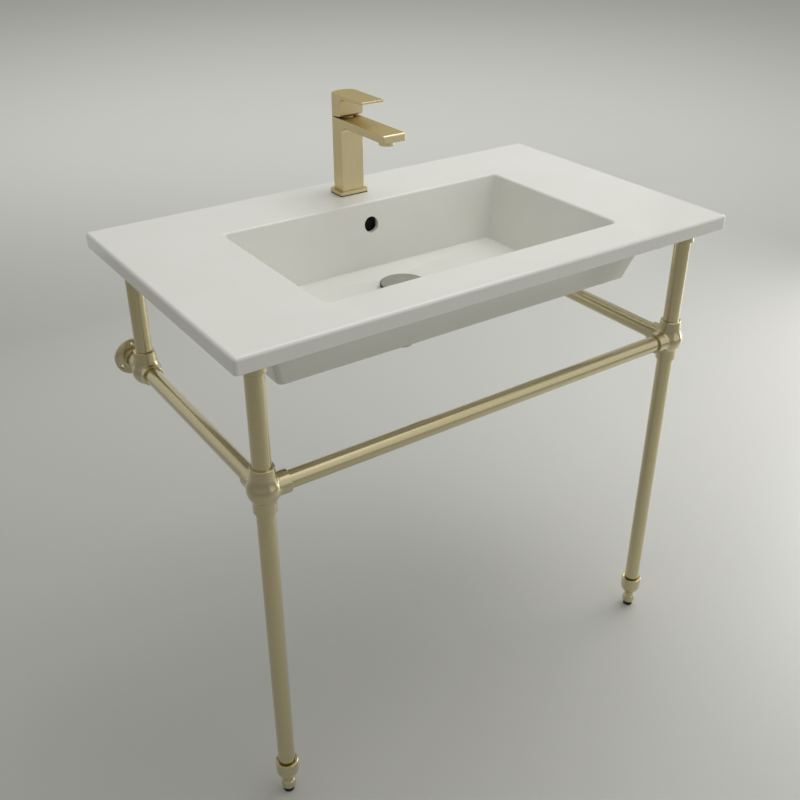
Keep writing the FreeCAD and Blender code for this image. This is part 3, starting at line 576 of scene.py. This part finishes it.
# %% Threaded sleeve and stud
WASTE_PITCH, WASTE_DEPTH = 2.0, 1.0
WASTE_RADIUS, WASTE_BORE = 22.0, 19.0
STUD_PITCH, STUD_DEPTH = 1.25, 0.7


def threaded_sleeve(radius, depth, pitch, bore, low, high):
    mesh = bmesh.new()
    rims = thread_surface(mesh, radius, depth, pitch, low, high)
    for rim, height in zip(rims, (low, high)):
        ring = bmesh.ops.create_circle(mesh, segments=THREAD_STEPS, radius=bore * MM)["verts"]
        bmesh.ops.translate(mesh, verts=ring, vec=(0, 0, height * MM))
        ring_edges = list({edge for vert in ring for edge in vert.link_edges})
        bmesh.ops.bridge_loops(mesh, edges=rim + ring_edges)
    inner = [edge for edge in mesh.edges if edge.is_boundary]
    bmesh.ops.bridge_loops(mesh, edges=inner)
    bmesh.ops.recalc_face_normals(mesh, faces=mesh.faces)
    return mesh


waste_low = box_mm("waste_body")[0][2]
nut_low, nut_high = box_mm("waste_locknut")
waste_cut = (nut_low[2] + nut_high[2]) / 2
mesh = merged_copy("waste_body")
bmesh.ops.bridge_loops(mesh, edges=keep_side(mesh, waste_cut, above=True))
join_flats(mesh)
sleeve = threaded_sleeve(WASTE_RADIUS, WASTE_DEPTH, WASTE_PITCH, WASTE_BORE, waste_low, waste_cut)
join(mesh, sleeve, "waste_body")
dress("waste_body", mesh)

low, high = box_mm("mounting_stud")
stud = bmesh.new()
rod = threaded_rod((high[0] - low[0]) / 2, STUD_DEPTH, STUD_PITCH, low[2], high[2])
join(stud, rod, "mounting_stud")
dress("mounting_stud", stud)
for name in ("waste_body", "mounting_stud"):
    print("faces of", name, len(dressed[name].data.polygons))

# %% [markdown]
# ## Set screws
# Headless set screws hold each tube in its fitting and the lever on its spindle. What one sees of them is
# a small chamfered disc with a hexagon socket. One is built along +Z from a circle and a hexagon that are
# bridged, and both rims are then extruded down: the hexagon to the socket's floor, the circle to the
# screw's tip.

# %% One hexagon socket screw
SCREW_SEGMENTS = 24
SCREW_CHAMFER = 0.25
SOCKET_ACROSS, SOCKET_DEEP = 0.5, 0.55


def socket_screw(mesh, diameter, length, place):
    # The outer end is at z = 0 and the screw runs down from there; place turns and moves it.
    made = []
    face_radius = (diameter / 2 - SCREW_CHAMFER) * MM
    key_radius = diameter * SOCKET_ACROSS / math.sqrt(3) * MM
    disc = bmesh.ops.create_circle(mesh, segments=SCREW_SEGMENTS, radius=face_radius)["verts"]
    key = bmesh.ops.create_circle(mesh, segments=6, radius=key_radius)["verts"]
    disc_edges = list({edge for vert in disc for edge in vert.link_edges})
    key_edges = list({edge for vert in key for edge in vert.link_edges})
    bmesh.ops.bridge_loops(mesh, edges=disc_edges + key_edges)
    made += disc + key

    def sink(edges, depth, widen=1.0):
        grown = bmesh.ops.extrude_edge_only(mesh, edges=edges)["geom"]
        points = [item for item in grown if isinstance(item, bmesh.types.BMVert)]
        bmesh.ops.translate(mesh, verts=points, vec=(0, 0, -depth * MM))
        bmesh.ops.scale(mesh, verts=points, vec=(widen, widen, 1))
        made.extend(points)
        return [edge for edge in grown if isinstance(edge, bmesh.types.BMEdge) and edge.is_boundary]

    floor_edges = sink(key_edges, SOCKET_DEEP * length)
    bmesh.ops.edgeloop_fill(mesh, edges=floor_edges)
    shoulder = sink(disc_edges, SCREW_CHAMFER, diameter / 2 * MM / face_radius)
    tip = sink(shoulder, length - SCREW_CHAMFER)
    bmesh.ops.edgeloop_fill(mesh, edges=tip)
    bmesh.ops.transform(mesh, matrix=place, verts=made)


print("screw segments:", SCREW_SEGMENTS)

# %% [markdown]
# ## Where the screws go
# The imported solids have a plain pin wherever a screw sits. Each pin is found by walking over the edges
# from one of its points, and its box tells the screw's place, length and axis. A screw that lies along Y
# shows at the back, and an upright one shows from below.

# %% Screws in place of the pins
FITTING_SCREW, LEVER_SCREW = 4.0, 5.0


def pins_of(name):
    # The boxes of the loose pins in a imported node, in mm.
    mesh = merged_copy(name)
    left = set(mesh.verts)
    boxes = []
    while left:
        group, queue = set(), [left.pop()]
        while queue:
            vert = queue.pop()
            group.add(vert)
            for edge in vert.link_edges:
                other = edge.other_vert(vert)
                if other in left:
                    left.discard(other)
                    queue.append(other)
        low = [min(vert.co[i] for vert in group) / MM for i in range(3)]
        high = [max(vert.co[i] for vert in group) / MM for i in range(3)]
        boxes.append((low, high))
    mesh.free()
    return sorted(boxes)


def hexagon_screws(name, diameter):
    mesh = bmesh.new()
    for low, high in pins_of(name):
        spans = [b - a for a, b in zip(low, high)]
        axis = max(range(3), key=lambda i: abs(spans[i] - diameter))
        outward = Vector((0, 1, 0)) if axis == 1 else Vector((0, 0, -1))
        middle = Vector([(a + b) / 2 for a, b in zip(low, high)])
        end = (middle + outward * (spans[axis] / 2)) * MM
        turn = outward.to_track_quat("Z", "Y").to_matrix().to_4x4()
        socket_screw(mesh, diameter, spans[axis], Matrix.Translation(end) @ turn)
    bmesh.ops.recalc_face_normals(mesh, faces=mesh.faces)
    dress(name, mesh)


for name, diameter in (("fitting_set_screws", FITTING_SCREW), ("lever_set_screw", LEVER_SCREW)):
    hexagon_screws(name, diameter)
    print("faces of", name, len(dressed[name].data.polygons))

# %% [markdown]
# ## The floor
# The sink stands on a plain pale floor with a sealed, slightly dull surface. One large square is enough,
# so wide that no view reaches its edge.

# %% Floor
FLOOR_REACH = 30
FLOOR_ROUGHNESS = 0.35
mesh = bmesh.new()
bmesh.ops.create_grid(mesh, x_segments=1, y_segments=1, size=FLOOR_REACH)
floor_mesh = bpy.data.meshes.new("floor")
mesh.to_mesh(floor_mesh)
mesh.free()
floor = bpy.data.objects.new("floor", floor_mesh)
bpy.context.scene.collection.objects.link(floor)
floor_finish, _, floor_shader, _ = new_finish("pale_sealed_floor", FLOOR_ROUGHNESS)
floor_shader.inputs["Base Color"].default_value = linear("#BABAB5")
floor_mesh.materials.append(floor_finish)
print("floor reaches", FLOOR_REACH, "m each way")

# %% [markdown]
# ## Soft studio light
# Glaze and brass look like what they mirror, so the light comes from a pale sky that is brighter
# overhead, and from large soft cards. The overhead fill and the key model the bowl, the front card and
# the window at the right put long highlights on the tubes, and the back card gives the deck and the
# mixer's sides something pale to mirror. Two washes are there for the floor: the near one faces straight
# down, and the far one faces away from the sink. The lamps are hidden from the camera, so only their
# light and their reflections are in the picture.

# %% Light
ZENITH, HORIZON = 0.52, 0.30
world = bpy.data.worlds.new("studio")
bpy.context.scene.world = world
world.use_nodes = True
sky = world.node_tree
direction = add(sky, "ShaderNodeTexCoord").outputs["Generated"]
height = add(sky, "ShaderNodeSeparateXYZ", None, {"Vector": direction}).outputs["Z"]
level = {"Value": height, "From Min": 0.0, "From Max": 1.0, "To Min": HORIZON, "To Max": ZENITH}
strength = add(sky, "ShaderNodeMapRange", {"clamp": True}, level).outputs["Result"]
background = sky.nodes["Background"]
background.inputs["Color"].default_value = linear("#FBFBF7")
sky.links.new(strength, background.inputs["Strength"])

# Per lamp: its place, the point that it faces, and its size, all in metres, then its power in watts.
LAMPS = {
    "overhead_fill": ((0.5, -0.3, 2.6), (0, 0, 0.7), (2.2, 1.8), 9),
    "key": ((0.75, 0.1, 2.6), (0, 0.1, 0.8), (1.3, 1.3), 10),
    "front_card": ((1.3, -2.0, 1.5), (0, 0, 0.6), (2.4, 2.4), 7),
    "right_window": ((2.0, -0.2, 0.75), (0.2, -0.2, 0.1), (1.1, 1.5), 14),
    "floor_wash": ((1.5, -0.4, 0.6), (1.5, -0.41, 0), (1.6, 1.6), 3.5),
    "back_card": ((0.2, 1.6, 1.05), (0.2, -1, 1.05), (4.5, 1.7), 5.6),
    "far_floor_wash": ((2.2, 3.4, 3.0), (3.25, 4.9, 0.63), (6, 5), 150),
}


def softbox(name, place, target, size, power):
    lamp = bpy.data.lights.new(name, "AREA")
    lamp.shape = "RECTANGLE"
    lamp.size, lamp.size_y = size
    lamp.energy = power
    holder = bpy.data.objects.new(name, lamp)
    holder.location = place
    holder.rotation_euler = (Vector(target) - Vector(place)).to_track_quat("-Z", "Y").to_euler()
    holder.visible_camera = False
    bpy.context.scene.collection.objects.link(holder)


for name, values in LAMPS.items():
    softbox(name, *values)
print("lamps:", ", ".join(LAMPS))

# %% [markdown]
# ## The camera
# The camera stands in front, to the left and above the deck. Its place, turn and lens were solved from
# the straight edges of the deck and the console, so that the render lines up with the photograph. The
# view transform is Standard, which shows a colour as it is written.

# %% Camera
CAMERA_PLACE = (-0.7988, -1.1223, 1.2780)
CAMERA_TURN = (59.744, 0, -34.652)
LENS, SENSOR_WIDTH = 44.10, 36
camera = bpy.data.cameras.new("camera")
camera.sensor_width = SENSOR_WIDTH
camera.lens = LENS
camera_holder = bpy.data.objects.new("camera", camera)
camera_holder.location = CAMERA_PLACE
camera_holder.rotation_euler = [math.radians(a) for a in CAMERA_TURN]
bpy.context.scene.collection.objects.link(camera_holder)
bpy.context.scene.camera = camera_holder
bpy.context.scene.view_settings.view_transform = "Standard"
print("camera at", CAMERA_PLACE, "with a lens of", LENS, "mm")
